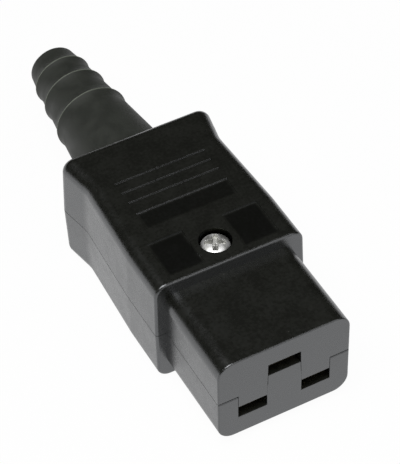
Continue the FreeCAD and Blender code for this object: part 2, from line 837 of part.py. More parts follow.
def cranked_tail(contact, label):
    """The earth contact's tail, bent down and back again into its terminal."""
    t, r = s.sheet, s.bend_radius
    leg = s.earth_block_front - contact_front - r - t
    foot = s.earth_tail_height - earth_contact_bottom
    end = s.earth_block_front + s.block_length + t - contact_front
    side_view = new_sketch(contact, label + "_tail_view", "YZ", [[
        (s.contact_length, t),
        (leg - r, t, quarter_rise(r + t), -1),
        (leg + t, -r),
        (leg + t, foot + t + r, quarter_rise(r), 1),
        (leg + t + r, foot + t),
        (end, foot + t),
        (end, foot),
        (leg + t + r, foot, quarter_rise(r + t), -1),
        (leg, foot + t + r),
        (leg, -r, quarter_rise(r), 1),
        (leg - r, 0),
        (s.contact_length, 0),
    ]])
    pad(contact, label + "_tail", side_view, s.tail_width, both_ways=True)


def make_spring(label, x, bottom):
    """The bowed steel leaf under the roof of a receptacle."""
    roof = bottom + s.contact_height - s.sheet - s.fit_clearance / 2
    lead = (s.contact_length - s.spring_length) / 2
    spring = new_body(label, x, contact_front + lead, roof)
    bowed = new_sketch(spring, label + "_view", "YZ", [[
        (0, 0, s.spring_rise, 1),
        (s.spring_length, 0),
        (s.spring_length, -s.spring_sheet, s.spring_rise, -1),
        (0, -s.spring_sheet),
    ]])
    pad(spring, label + "_leaf", bowed, s.spring_width, both_ways=True)
    return spring


def make_terminal(label, x, front, tail_bottom):
    """A brass block with an opening for tail and wire, and a threaded roof."""
    terminal = new_body(label, x, front, tail_bottom - s.block_floor)
    half, opening = s.block_width / 2, s.tail_width / 2 + s.fit_clearance
    high = s.block_floor + s.block_opening + s.block_roof
    view = new_sketch(terminal, label + "_view", "XZ", [
        rectangle(-half, 0, half, high),
        rectangle(-opening, s.block_floor, opening, s.block_floor + s.block_opening)])
    pad(terminal, label + "_block", view, s.block_length, reverse=True)
    drill(terminal, label + "_thread",
          [(0, s.block_length / 2, s.terminal_screw_radius + s.fit_clearance / 2)],
          s.block_floor + s.block_opening, high)
    return terminal


# ---------------------------------------------------------------- cable entry
def make_clamp_bar():
    """The bridge that presses the cable into its saddle."""
    bar = new_body("cable_clamp_bar", 0, clamp_place, seat_height)
    inner = s.cable_radius + s.fit_clearance
    t = s.clamp_bar_thickness
    end = s.clamp_screw_spacing / 2 + s.post_radius
    view = new_sketch(bar, "clamp_bar_view", "XZ", [[
        (end, 0),
        (end, t),
        (inner + t, t, inner, 1),
        (-inner - t, t),
        (-end, t),
        (-end, 0),
    ]])
    pad(bar, "clamp_bar_bridge", view, s.clamp_bar_depth, both_ways=True)
    arch = new_sketch(bar, "clamp_bar_arch_view", "XZ", circles=[(0, 0, inner)])
    pocket(bar, "clamp_bar_arch", arch, s.clamp_bar_depth, both_ways=True)
    hole = s.clamp_screw_radius + s.fit_clearance
    drill(bar, "clamp_bar_holes",
          [(on_side(side, s.clamp_screw_spacing / 2), 0, hole) for side in (-1, 1)],
          as_size(0), t)
    return bar


def make_sleeve():
    """The ribbed bend relief, turned round the cable's axis."""
    sleeve = new_body("bend_relief_sleeve", 0, 0, s.parting_height)
    tip = overall_length
    crests = [tip - s.ridge_from_tip - s.ridge_pitch * i
              - s.ridge_pitch_growth * (i * (i - 1) / 2) for i in range(RIDGE_COUNT)]
    last = crests[-1]
    near_slope = (s.sleeve_radius - s.sleeve_ridge_radius) / (last - grip_rear)
    far_slope = (s.sleeve_ridge_radius - s.sleeve_tip_radius) / (tip - last)

    def near_cone(y):
        return s.sleeve_radius - (y - grip_rear) * near_slope

    def far_cone(y):
        return s.sleeve_ridge_radius - (y - last) * far_slope

    bore = s.cable_radius + s.fit_clearance
    hollow_of_flank = s.ridge_rise / 5
    crown_of_crest = s.ridge_crest / 6
    profile = [
        (flange_front, s.sleeve_inner_radius),
        (flange_front, flange_radius),
        (flange_rear, flange_radius),
        (flange_rear, s.sleeve_radius),
        (grip_rear, s.sleeve_radius),
    ]
    for crest in reversed(crests):
        foot = crest - s.ridge_half_width
        front_cone = near_cone if crest is last else far_cone
        top = far_cone(crest) + s.ridge_rise
        profile += [
            (foot, front_cone(foot), hollow_of_flank, 1),
            (crest - s.ridge_crest / 2, top, crown_of_crest, -1),
            (crest + s.ridge_crest / 2, top, hollow_of_flank, 1),
            (crest + s.ridge_half_width, far_cone(crest + s.ridge_half_width)),
        ]
    rounding = s.sleeve_tip_rounding
    profile += [
        (tip - rounding, s.sleeve_tip_radius, quarter_rise(rounding), -1),
        (tip, s.sleeve_tip_radius - rounding),
        (tip, bore),
        (last, bore),
    ]
    view = new_sketch(sleeve, "sleeve_profile", "YZ", [profile])
    revolve(sleeve, "sleeve_turned", "Revolution", view)
    return sleeve


# ---------------------------------------------------------------- the assembly
def make_all():
    """Every piece of the connector."""
    housing_recess = cross_outline(s.recess_width, s.recess_span)
    pieces = [
        make_cover(),
        make_housing(),
        make_sleeve(),
        make_clamp_bar(),
        make_screw("housing_screw", 0, screw_place, head_seat,
                   (s.screw_radius, s.screw_length), (s.head_radius, s.head_height),
                   housing_recess),
        make_nut(),
    ]
    clamp_seat = seat_height + s.clamp_bar_thickness
    for side, label in ((-1, "left"), (1, "right")):
        pieces.append(make_screw(
            f"clamp_screw_{label}", on_side(side, s.clamp_screw_spacing / 2), clamp_place,
            clamp_seat, (s.clamp_screw_radius, s.clamp_screw_length),
            (s.clamp_head_radius, s.clamp_head_height), housing_recess))
    poles = (
        ("line", -1, line_contact_bottom, line_block_front, line_contact_bottom),
        ("neutral", 1, line_contact_bottom, line_block_front, line_contact_bottom),
        ("earth", 0, earth_contact_bottom, s.earth_block_front, s.earth_tail_height),
    )
    half = s.terminal_head_radius * 1.1
    slot = rectangle(-half, -s.recess_width / 2, half, s.recess_width / 2)
    for pole, side, bottom, block_front, tail_bottom in poles:
        x = on_side(side, s.pin_spacing / 2)
        block_x = on_side(side, s.line_block_spacing / 2)
        tail = cranked_tail if side == 0 else straight_tail(side)
        roof = tail_bottom + s.block_opening + s.block_roof
        pieces += [
            make_contact(f"{pole}_contact", x, bottom, tail),
            make_spring(f"{pole}_contact_spring", x, bottom),
            make_terminal(f"{pole}_terminal", block_x, block_front, tail_bottom),
            make_screw(f"{pole}_terminal_screw", block_x, block_front + s.block_length / 2, roof,
                       (s.terminal_screw_radius, s.terminal_screw_length),
                       (s.terminal_head_radius, s.terminal_head_height), slot),
        ]
    return pieces


def write_parts(pieces):
    """Check every object and every piece, then write one STEP file for each piece."""
    doc.recompute()
    failed = [item.Name for item in doc.Objects
              if "Invalid" in item.State or "Error" in item.State]
    if failed:
        raise RuntimeError(f"failed objects: {failed}")
    for piece in pieces:
        shape = piece.Shape
        if shape.isNull() or not shape.isValid() or len(shape.Solids) != 1:
            raise RuntimeError(f"{piece.Label} is not one valid solid")
    os.makedirs("parts", exist_ok=True)
    for piece in pieces:
        piece.Shape.exportStep(os.path.join("parts", piece.Label + ".step"))
        box = piece.Shape.optimalBoundingBox()
        print(f"{piece.Label:24} {box.XLength:7.2f} {box.YLength:7.2f} {box.ZLength:7.2f}"
              f" {piece.Shape.Volume:9.1f}")


write_parts(make_all())
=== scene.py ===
"""A rewireable C19 connector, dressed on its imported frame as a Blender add-on.

The mating face looks along -Y and the cable leaves along +Y. Sizes in the properties
are metres. Places are read from the frame's own nodes.
"""

import math

import bmesh
import bpy
from bpy.props import FloatProperty, FloatVectorProperty, IntProperty, PointerProperty
from mathutils import Matrix, Vector


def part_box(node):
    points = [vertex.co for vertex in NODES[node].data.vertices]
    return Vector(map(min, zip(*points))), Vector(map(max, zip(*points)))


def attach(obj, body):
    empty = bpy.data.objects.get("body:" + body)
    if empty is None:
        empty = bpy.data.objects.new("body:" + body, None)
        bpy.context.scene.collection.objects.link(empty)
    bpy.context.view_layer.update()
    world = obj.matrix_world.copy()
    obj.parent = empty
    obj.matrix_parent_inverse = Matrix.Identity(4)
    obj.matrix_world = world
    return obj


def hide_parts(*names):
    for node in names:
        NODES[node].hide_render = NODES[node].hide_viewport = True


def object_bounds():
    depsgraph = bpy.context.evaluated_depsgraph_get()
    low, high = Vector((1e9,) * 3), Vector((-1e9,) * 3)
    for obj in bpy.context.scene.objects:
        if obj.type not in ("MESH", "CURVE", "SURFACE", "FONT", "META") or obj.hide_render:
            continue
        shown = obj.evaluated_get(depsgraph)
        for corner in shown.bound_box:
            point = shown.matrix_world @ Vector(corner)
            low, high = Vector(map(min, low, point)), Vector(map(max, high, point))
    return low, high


bl_info = {
    "name": "Power connector dresser",
    "version": (1, 0, 0),
    "blender": (4, 5, 0),
    "location": "3D View > Sidebar > Connector",
    "description": "Finishes, screws and stage for a rewireable C19 connector",
    "category": "Object",
}

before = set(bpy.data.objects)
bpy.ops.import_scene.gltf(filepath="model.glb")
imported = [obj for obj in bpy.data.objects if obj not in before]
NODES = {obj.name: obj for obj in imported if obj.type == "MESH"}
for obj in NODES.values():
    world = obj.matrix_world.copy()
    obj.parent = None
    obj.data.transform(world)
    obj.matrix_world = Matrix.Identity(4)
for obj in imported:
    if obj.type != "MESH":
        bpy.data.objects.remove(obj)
cad_low, cad_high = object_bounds()
MM = 0.001
POLES = ("line", "neutral", "earth")

# Finishes, and levels of painted shade and highlight, that are the same wherever they are used.
MOULDED_IOR = 2.0
COOL_SHEEN = (0.94, 0.96, 1.0, 1)
PLASTIC_DUST = (0.32, 0.31, 0.3)
RUBBER_DUST = (0.2, 0.21, 0.2)
# Painted shade: how much darker the smooth panels' colour is, standing in for the deeper look of
# their gloss.
PANEL_PAINTED_SHADE = 0.4
# Painted highlight: how much lighter the sleeve's crest lines are, standing in for the light the
# crests catch.
CREST_HIGHLIGHT_TONE = 6.0
# How far below the top the reliefs of the cover reach, and how far past a wall they blend.
RELIEF_REACH = 0.5 * MM
WALL_REACH = 0.4 * MM
# The depth from which a driver recess gets painted shade, and the radius of the nut's bore.
RECESS_START = 0.12 * MM
NUT_BORE = 1.55 * MM
# Where the lamps stand, and their sizes.
KEY_PLACE, KEY_SIZE = (-0.2, -0.15, 0.7), 0.5
FILL_PLACE, FILL_SIZE = (0.25, -0.65, 0.4), 0.6


# ------------------------------------------------------------------ settings
class MouldingSettings(bpy.types.PropertyGroup):
    """The matte plastic of the two housing halves."""

    colour: FloatVectorProperty(
        name="Plastic colour", description="Colour of the moulded plastic",
        subtype="COLOR", size=3, min=0, max=1, default=(0.0078, 0.0082, 0.0058))
    roughness: FloatProperty(
        name="Roughness", description="Roughness of the spark-eroded surface",
        min=0, max=1, default=0.28)
    panel_roughness: FloatProperty(
        name="Panel roughness", description="Roughness of the two smooth panels",
        min=0, max=1, default=0.2)
    edge_rounding: FloatProperty(
        name="Edge rounding", description="Rounding of the moulded edges, for shading",
        unit="LENGTH", min=0, default=0.00016)
    grain: FloatProperty(
        name="Grain", description="Distance between the pits of the surface",
        unit="LENGTH", min=0.00002, default=0.00022)
    grain_depth: FloatProperty(
        name="Grain depth", description="Depth of the pits",
        unit="LENGTH", min=0, default=0.000035)
    nose_length: FloatProperty(
        name="Nose length", description="From the mating face to the grip's front",
        unit="LENGTH", default=0.0198)
    step_height: FloatProperty(
        name="Step height", description="How far below the top the corners stay sharp",
        unit="LENGTH", min=0, default=0.0019)
    well_gap: FloatProperty(
        name="Well gap", description="From the screw's head to the wall of its well",
        unit="LENGTH", min=0, default=0.0003)
    # The well's own colour is painted shade, standing in for the shadow in the screw's well.
    well_shadow_tone: FloatProperty(
        name="Well shade", description="How light the well is, next to the plastic",
        min=0, max=4, default=1.5)
    panel_fade: FloatProperty(
        name="Panel fade", description="Width over which the polish of a panel fades out",
        unit="LENGTH", min=0, default=0.0007)
    label_polish: FloatProperty(
        name="Label polish", description="How smooth the label recess is, next to a panel",
        min=0, max=1, default=0.8)
    label_front: FloatProperty(
        name="Label front", description="From the mating face to the label recess",
        unit="LENGTH", default=0.0344)
    label_length: FloatProperty(
        name="Label length", description="Length of the label recess",
        unit="LENGTH", default=0.0043)
    label_half_width: FloatProperty(
        name="Label half width", description="From the middle to the recess's side",
        unit="LENGTH", default=0.00955)
    panel_front: FloatProperty(
        name="Panel front", description="From the mating face to the smooth panels",
        unit="LENGTH", default=0.0218)
    panel_length: FloatProperty(
        name="Panel length", description="Length of a smooth panel",
        unit="LENGTH", default=0.009)
    panel_inner: FloatProperty(
        name="Panel inner side", description="From the middle to a panel's inner side",
        unit="LENGTH", default=0.0041)
    panel_outer: FloatProperty(
        name="Panel outer side", description="From the middle to a panel's outer side",
        unit="LENGTH", default=0.0115)


class SleeveSettings(bpy.types.PropertyGroup):
    """The rubber of the bend relief sleeve."""

    colour: FloatVectorProperty(
        name="Rubber colour", description="Colour of the sleeve",
        subtype="COLOR", size=3, min=0, max=1, default=(0.024, 0.0265, 0.0215))
    roughness: FloatProperty(
        name="Roughness", description="Roughness of the moulded rubber",
        min=0, max=1, default=0.62)
    crest_from_tip: FloatProperty(
        name="First crest", description="From the tip to the first ridge's crest",
        unit="LENGTH", default=0.0049)
    crest_pitch: FloatProperty(
        name="Crest pitch", description="From the first crest to the second",
        unit="LENGTH", default=0.0057)
    crest_growth: FloatProperty(
        name="Crest growth", description="What each further pitch is longer by",
        unit="LENGTH", default=0.0019)
    # The crest line is a painted highlight: a lighter colour where the crests would catch the
    # light.
    crest_highlight_width: FloatProperty(
        name="Crest wear", description="Half width of the worn line on a crest",
        unit="LENGTH", min=0, default=0.0002)


class MetalSettings(bpy.types.PropertyGroup):
    """The metals of the screws, the nut and the inner parts."""

    nickel: FloatVectorProperty(
        name="Nickel", description="Colour of the plated screws and the nut",
        subtype="COLOR", size=3, min=0, max=1, default=(0.98, 0.98, 0.94))
    brass: FloatVectorProperty(
        name="Brass", description="Colour of the contacts and the terminals",
        subtype="COLOR", size=3, min=0, max=1, default=(0.34, 0.27, 0.15))
    spring: FloatVectorProperty(
        name="Spring steel", description="Colour of the leaf springs",
        subtype="COLOR", size=3, min=0, max=1, default=(0.46, 0.48, 0.5))
    roughness: FloatProperty(
        name="Roughness", description="Roughness of the plated metal",
        min=0, max=1, default=0.52)


class ScrewSettings(bpy.types.PropertyGroup):
    """What the screws' threads and recesses look like."""

    machine_pitch: FloatProperty(
        name="Machine pitch", description="Thread pitch of the machine screws",
        unit="LENGTH", default=0.0005)
    tapping_pitch: FloatProperty(
        name="Tapping pitch", description="Thread pitch of the clamp screws",
        unit="LENGTH", default=0.0011)
    recess_width: FloatProperty(
        name="Recess width", description="Width of one wing of the cross recess",
        unit="LENGTH", default=0.0012)
    recess_reach: FloatProperty(
        name="Recess reach", description="From the middle to the end of a wing",
        unit="LENGTH", default=0.002)
    recess_depth: FloatProperty(
        name="Recess depth", description="Depth of the cross recess in the middle",
        unit="LENGTH", default=0.0012)
    recess_turn: FloatProperty(
        name="Recess turn", description="How far the cross recesses are turned",
        subtype="ANGLE", default=math.radians(-27))
    # The recess colour is painted shade: a darker copy of the nickel where shade falls in the
    # recess.
    recess_shadow_tone: FloatProperty(
        name="Recess shade", description="How light a recess is, next to the head",
        min=0, max=1, default=0.6)
    crown: FloatProperty(
        name="Crown", description="How far a head's dome stands above the plain head",
        unit="LENGTH", min=0, default=0.0003)
    segments: IntProperty(
        name="Segments", description="Faces round a screw", min=24, default=96)


class StageSettings(bpy.types.PropertyGroup):
    """Floor, lamps and camera."""

    floor_colour: FloatVectorProperty(
        name="Floor colour", description="Colour of the floor",
        subtype="COLOR", size=3, min=0, max=1, default=(0.86, 0.86, 0.86))
    floor_shadow: FloatProperty(
        name="Shadow share", description="How much of the floor's own shading shows",
        min=0, max=1, default=0.035)
    world_strength: FloatProperty(
        name="Surroundings", description="Strength of the plain surroundings",
        min=0, default=0.02)
    key_power: FloatProperty(
        name="Key lamp", description="Power of the lamp overhead", min=0,
        default=5.2)
    fill_power: FloatProperty(
        name="Fill lamp", description="Power of the lamp in front", min=0, default=1.2)
    azimuth: FloatProperty(
        name="Camera azimuth", description="Turn of the camera about the vertical",
        subtype="ANGLE", default=math.radians(-27.27))
    elevation: FloatProperty(
        name="Camera elevation", description="Height of the camera above the horizon",
        subtype="ANGLE", default=math.radians(46.31))
    roll: FloatProperty(
        name="Camera roll", description="Turn of the camera about its own axis",
        subtype="ANGLE", default=math.radians(-1.57))
    distance: FloatProperty(
        name="Camera distance", description="From the camera to what it looks at",
        unit="LENGTH", default=0.44064)
    lens: FloatProperty(
        name="Lens", description="Focal length in millimetres", default=173.4)
    target: FloatVectorProperty(
        name="Camera target", description="The point that the camera looks at",
        subtype="XYZ", unit="LENGTH", size=3, default=(0.00809, -0.0007, 0.00281))


# ---------------------------------------------------------------- node helpers
def new_material(name):
    """An empty node material with a Principled shader and the object's coordinates."""
    material = bpy.data.materials.new(name)
    material.use_nodes = True
    tree = material.node_tree
    tree.nodes.clear()
    output = tree.nodes.new("ShaderNodeOutputMaterial")
    shader = tree.nodes.new("ShaderNodeBsdfPrincipled")
    tree.links.new(shader.outputs["BSDF"], output.inputs["Surface"])
    coordinates = tree.nodes.new("ShaderNodeTexCoord").outputs["Object"]
    return material, tree, shader, coordinates


def axes(tree, coordinates):
    """The X, Y and Z of the coordinates as sockets of their own."""
    split = tree.nodes.new("ShaderNodeSeparateXYZ")
    tree.links.new(coordinates, split.inputs[0])
    return split.outputs["X"], split.outputs["Y"], split.outputs["Z"]


def noise(tree, coordinates, spacing, detail=2.0, roughness=0.5):
    """Noise whose blotches lie about spacing apart."""
    node = tree.nodes.new("ShaderNodeTexNoise")
    node.inputs["Scale"].default_value = 1 / spacing
    node.inputs["Detail"].default_value = detail
    node.inputs["Roughness"].default_value = roughness
    tree.links.new(coordinates, node.inputs["Vector"])
    return node.outputs["Fac"]


def math_node(tree, operation, *values):
    """One Math node; a value is a number or a socket."""
    node = tree.nodes.new("ShaderNodeMath")
    node.operation = operation
    for socket, value in zip(node.inputs, values):
        if isinstance(value, bpy.types.NodeSocket):
            tree.links.new(value, socket)
        else:
            socket.default_value = value
    return node.outputs[0]


def spread(tree, value, low, high, to_low, to_high):
    """A value's range mapped smoothly onto another one."""
    node = tree.nodes.new("ShaderNodeMapRange")
    node.interpolation_type = "SMOOTHSTEP"
    tree.links.new(value, node.inputs["Value"])
    for name, number in (("From Min", low), ("From Max", high),
                         ("To Min", to_low), ("To Max", to_high)):
        node.inputs[name].default_value = number
    return node.outputs["Result"]


def mix_colour(tree, share, first, second):
    """The first colour blended into the second one by a share."""
    node = tree.nodes.new("ShaderNodeMix")
    node.data_type = "RGBA"
    tree.links.new(share, node.inputs["Factor"])
    for socket, value in ((node.inputs["A"], first), (node.inputs["B"], second)):
        if isinstance(value, bpy.types.NodeSocket):
            tree.links.new(value, socket)
        else:
            socket.default_value = (*value, 1)
    return node.outputs["Result"]


def bump(tree, shader, height, depth, strength=1.0, normal=None):
    """A bump of the shader's normal, its full height depth metres."""
    node = tree.nodes.new("ShaderNodeBump")
    node.inputs["Strength"].default_value = strength
    node.inputs["Distance"].default_value = depth
    tree.links.new(height, node.inputs["Height"])
    if normal is not None:
        tree.links.new(normal, node.inputs["Normal"])
    tree.links.new(node.outputs["Normal"], shader.inputs["Normal"])


def shade(colour, factor):
    """A colour made lighter or darker."""
    return tuple(min(1.0, part * factor) for part in colour)


def finish_node(name, material):
    """Give a frame node its material in every slot it has."""
    node = NODES[name]
    for slot in node.material_slots:
        slot.material = material


# ------------------------------------------------------------------- materials
def specks(tree, coordinates, spacing, size, share):
    """A mask of tiny round specks, one in some of the cells."""
    cells = tree.nodes.new("ShaderNodeTexVoronoi")
    cells.inputs["Scale"].default_value = 1 / spacing
    tree.links.new(coordinates, cells.inputs["Vector"])
    split = tree.nodes.new("ShaderNodeSeparateColor")
    tree.links.new(cells.outputs["Color"], split.inputs["Color"])
    chosen = math_node(tree, "LESS_THAN", split.outputs["Red"], share)
    dot = spread(tree, cells.outputs["Distance"], 0.0, size / spacing, 1.0, 0.0)
    return math_node(tree, "MULTIPLY", chosen, dot)


def smooth_mask(tree, coordinates, settings):
    """1 on the smooth panels and the label recess in the top, and 0 elsewhere; it makes them
    smoother and paints shade on them.
    """
    low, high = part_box("top_cover")
    x, y, z = axes(tree, coordinates)
    side = math_node(tree, "ABSOLUTE", x)

    def inside(place, start, end):
        """1 between two places, fading out at both ends."""
        away = math_node(tree, "ABSOLUTE",
                         math_node(tree, "SUBTRACT", place, (start + end) / 2))
        half = (end - start) / 2
        return spread(tree, away, half - settings.panel_fade, half, 1.0, 0.0)

    def field(inner, outer, front, length):
        """1 where a rectangle of the top lies, on both sides of the middle."""
        along = inside(y, low.y + front, low.y + front + length)
        return math_node(tree, "MULTIPLY", inside(side, inner, outer), along)

    panels = field(settings.panel_inner, settings.panel_outer,
                   settings.panel_front, settings.panel_length)
    label = field(-settings.label_half_width, settings.label_half_width,
                  settings.label_front, settings.label_length)
    top = math_node(tree, "GREATER_THAN", z, high.z - RELIEF_REACH)
    label = math_node(tree, "MULTIPLY", label, settings.label_polish)
    return math_node(tree, "MULTIPLY", math_node(tree, "MAXIMUM", panels, label), top)


def painted_well_shadow(tree, coordinates, settings):
    """1 inside the screw's well, where shade is painted, and 0 outside it."""
    low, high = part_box("housing_screw")
    x, y = axes(tree, coordinates)[:2]
    across = math_node(tree, "SUBTRACT", x, (low.x + high.x) / 2)
    along = math_node(tree, "SUBTRACT", y, (low.y + high.y) / 2)
    away = math_node(tree, "SQRT", math_node(
        tree, "ADD", math_node(tree, "MULTIPLY", across, across),
        math_node(tree, "MULTIPLY", along, along)))
    rim = (high.x - low.x) / 2 + settings.well_gap
    return spread(tree, away, rim, rim + settings.edge_rounding, 1.0, 0.0)


def sharp_mask(tree, coordinates, settings):
    """1 where inner corners stay sharp: round the nose's root and behind the panels."""
    low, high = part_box("top_cover")
    x, y, z = axes(tree, coordinates)
    root = math_node(tree, "MULTIPLY",
                     math_node(tree, "COMPARE", y, low.y + settings.nose_length, WALL_REACH),
                     math_node(tree, "LESS_THAN", z, high.z - settings.step_height))
    middle = (settings.panel_inner + settings.panel_outer) / 2
    beside = math_node(tree, "COMPARE", math_node(tree, "ABSOLUTE", x), middle,
                       settings.panel_outer - middle + WALL_REACH)
    panel_end = low.y + settings.panel_front + settings.panel_length
    behind = math_node(tree, "COMPARE", y, panel_end, WALL_REACH)
    top = math_node(tree, "GREATER_THAN", z, high.z - RELIEF_REACH)
    wall = math_node(tree, "MULTIPLY", math_node(tree, "MULTIPLY", beside, behind), top)
    return math_node(tree, "MAXIMUM", root, wall)


def moulded_plastic(settings):
    """Black plastic from a spark-eroded mould: smooth panels with painted shade, and painted
    shade in the screw well.
    """
    material, tree, shader, coordinates = new_material("spark_eroded_plastic")
    pits = noise(tree, coordinates, settings.grain, detail=3.0, roughness=0.6)
    clouds = noise(tree, coordinates, 4 * MM, detail=4.0)
    mottle = noise(tree, coordinates, 0.6 * MM, detail=2.0)
    dust = specks(tree, coordinates, 1.7 * MM, 0.14 * MM, 0.07)
    panels = smooth_mask(tree, coordinates, settings)

    tone = math_node(tree, "ADD", math_node(tree, "MULTIPLY", clouds, 0.5),
                     math_node(tree, "MULTIPLY", mottle, 0.5))
    plain = mix_colour(tree, spread(tree, tone, 0.35, 0.65, 0, 1),
                       shade(settings.colour, 0.84), shade(settings.colour, 1.2))
    # Painted shade: the panels and the label recess get a darker copy of the plastic's colour.
    smooth = mix_colour(tree, panels, plain, shade(settings.colour, PANEL_PAINTED_SHADE))
    well = painted_well_shadow(tree, coordinates, settings)
    # Painted shade: the well gets its own near-black colour, made metallic below.
    deep = mix_colour(tree, well, smooth, shade(settings.colour, settings.well_shadow_tone))
    dusty = mix_colour(tree, math_node(tree, "MULTIPLY", dust, 0.6), deep, PLASTIC_DUST)
    tree.links.new(dusty, shader.inputs["Base Color"])

    rough = spread(tree, tone, 0.3, 0.7, settings.roughness - 0.04, settings.roughness + 0.05)
    less = math_node(tree, "MULTIPLY", panels, settings.roughness - settings.panel_roughness)
    tree.links.new(math_node(tree, "SUBTRACT", rough, less), shader.inputs["Roughness"])
    # painted shade: a black metallic surface in the well swallows what the well's wall would
    # mirror of the screw, so the well reads as shadow
    tree.links.new(well, shader.inputs["Metallic"])
    shader.inputs["IOR"].default_value = MOULDED_IOR
    shader.inputs["Specular Tint"].default_value = COOL_SHEEN
    relief = math_node(tree, "MULTIPLY", pits, spread(tree, panels, 0, 1, 1.0, 0.3))
    rounded = tree.nodes.new("ShaderNodeBevel")
    rounded.samples = 6
    soft = math_node(tree, "SUBTRACT", 1.0, sharp_mask(tree, coordinates, settings))
    tree.links.new(math_node(tree, "MULTIPLY", soft, settings.edge_rounding),
                   rounded.inputs["Radius"])
    bump(tree, shader, relief, settings.grain_depth, 0.45, rounded.outputs["Normal"])
    return material


def crest_highlight_mask(tree, coordinates, settings):
    """1 along the crests of the sleeve's ridges, where a highlight is painted, fading out to both
    sides.
    """
    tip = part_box("bend_relief_sleeve")[1].y
    y = axes(tree, coordinates)[1]
    mask = None
    for i in range(3):
        back = (settings.crest_from_tip + settings.crest_pitch * i
                + settings.crest_growth * i * (i - 1) / 2)
        away = math_node(tree, "ABSOLUTE",
                         math_node(tree, "SUBTRACT", y, tip - back))
        line = spread(tree, away, 0.0, settings.crest_highlight_width, 1.0, 0.0)
        mask = line if mask is None else math_node(tree, "MAXIMUM", mask, line)
    return mask


def moulded_rubber(settings):
    """Satin black rubber, a little streaky round the sleeve."""
    material, tree, shader, coordinates = new_material("satin_rubber")
    clouds = noise(tree, coordinates, 3 * MM, detail=3.0)
    pores = noise(tree, coordinates, 0.25 * MM, detail=2.0)
    dust = specks(tree, coordinates, 2.2 * MM, 0.12 * MM, 0.05)
    plain = mix_colour(tree, spread(tree, clouds, 0.35, 0.65, 0, 1),
                       shade(settings.colour, 0.9), shade(settings.colour, 1.12))
    # Painted highlight: the crest lines get a lighter colour, standing in for the light they
    # catch.
    highlighted = mix_colour(tree, crest_highlight_mask(tree, coordinates, settings), plain,
                      shade(settings.colour, CREST_HIGHLIGHT_TONE))
    dusty = mix_colour(tree, math_node(tree, "MULTIPLY", dust, 0.5), highlighted, RUBBER_DUST)
    tree.links.new(dusty, shader.inputs["Base Color"])
    rough = spread(tree, clouds, 0.3, 0.7, settings.roughness - 0.06, settings.roughness + 0.06)
    tree.links.new(rough, shader.inputs["Roughness"])
    bump(tree, shader, pores, 0.02 * MM, 0.4)
    return material


def metal(name, colour, roughness, scratches=0.15):
    """Bare or plated metal with faint handling marks."""
    material, tree, shader, coordinates = new_material(name)
    clouds = noise(tree, coordinates, 1.5 * MM, detail=3.0)
    fine = noise(tree, coordinates, 0.12 * MM, detail=2.0)
    tone = mix_colour(tree, spread(tree, clouds, 0.3, 0.7, 0, 1),
                      shade(colour, 0.85), shade(colour, 1.08))
    tree.links.new(tone, shader.inputs["Base Color"])
    shader.inputs["Metallic"].default_value = 1.0
    rough = spread(tree, clouds, 0.3, 0.7, roughness - 0.06, roughness + 0.1)
    tree.links.new(rough, shader.inputs["Roughness"])
    bump(tree, shader, fine, 0.01 * MM, scratches)
    return material


# ------------------------------------------------------------------ mesh pieces
def piece_from(name, mesh_code, materials, slot, *stands_for):
    """A new piece that rides on the connector and stands for frame nodes."""
    mesh = bpy.data.meshes.new(name)
    shape = bmesh.new()
    mesh_code(shape)
    bmesh.ops.remove_doubles(shape, verts=shape.verts, dist=1e-7)
    bmesh.ops.recalc_face_normals(shape, faces=shape.faces)
    shape.to_mesh(mesh)
    shape.free()
    for material in materials:
        mesh.materials.append(material)
    mesh.polygons.foreach_set("use_smooth", [True] * len(mesh.polygons))
    mesh.set_sharp_from_angle(angle=math.radians(40))
    piece = bpy.data.objects.new(name, mesh)
    bpy.context.scene.collection.objects.link(piece)
    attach(piece, "root")
    if stands_for:
        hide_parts(*stands_for)
    return piece


def add_rings(shape, rings):
    """Skin closed rings of points, each joined to the next one."""
    rows = [[shape.verts.new(point) for point in ring] for ring in rings]
    for lower, upper in zip(rows, rows[1:]):
        count = len(lower)
        for i in range(count):
            following = (i + 1) % count
            shape.faces.new((lower[i], lower[following], upper[following], upper[i]))
    return rows


def ring(radius_at, height_at, segments):
    """One ring of points from a radius and a height at each angle."""
    points = []
    for i in range(segments):
        angle = 2 * math.pi * i / segments
        radius = radius_at(angle)
        x, y = radius * math.cos(angle), radius * math.sin(angle)
        points.append(Vector((x, y, height_at(x, y))))
    return points


def cross_depth(x, y, settings):
    """How deep the cross recess is at a point of the head."""
    deepest = 0.0
    cosine, sine = math.cos(settings.recess_turn), math.sin(settings.recess_turn)
    first, second = abs(x * cosine + y * sine), abs(y * cosine - x * sine)
    for along, across in ((first, second), (second, first)):
        end = settings.recess_reach - along
        side = settings.recess_width / 2 * (1 - 0.25 * along / settings.recess_reach) - across
        inside = min(side, end)
        if inside > 0:
            floor = settings.recess_depth * (1 - 0.5 * along / settings.recess_reach)
            deepest = max(deepest, min(floor, inside * 6))
    return deepest


def slot_depth(x, y, settings):
    """How deep a plain driver slot is at a point of the head."""
    inside = settings.recess_width / 2 - abs(y)
    return min(settings.recess_depth * 0.8, max(0.0, inside) * 12)


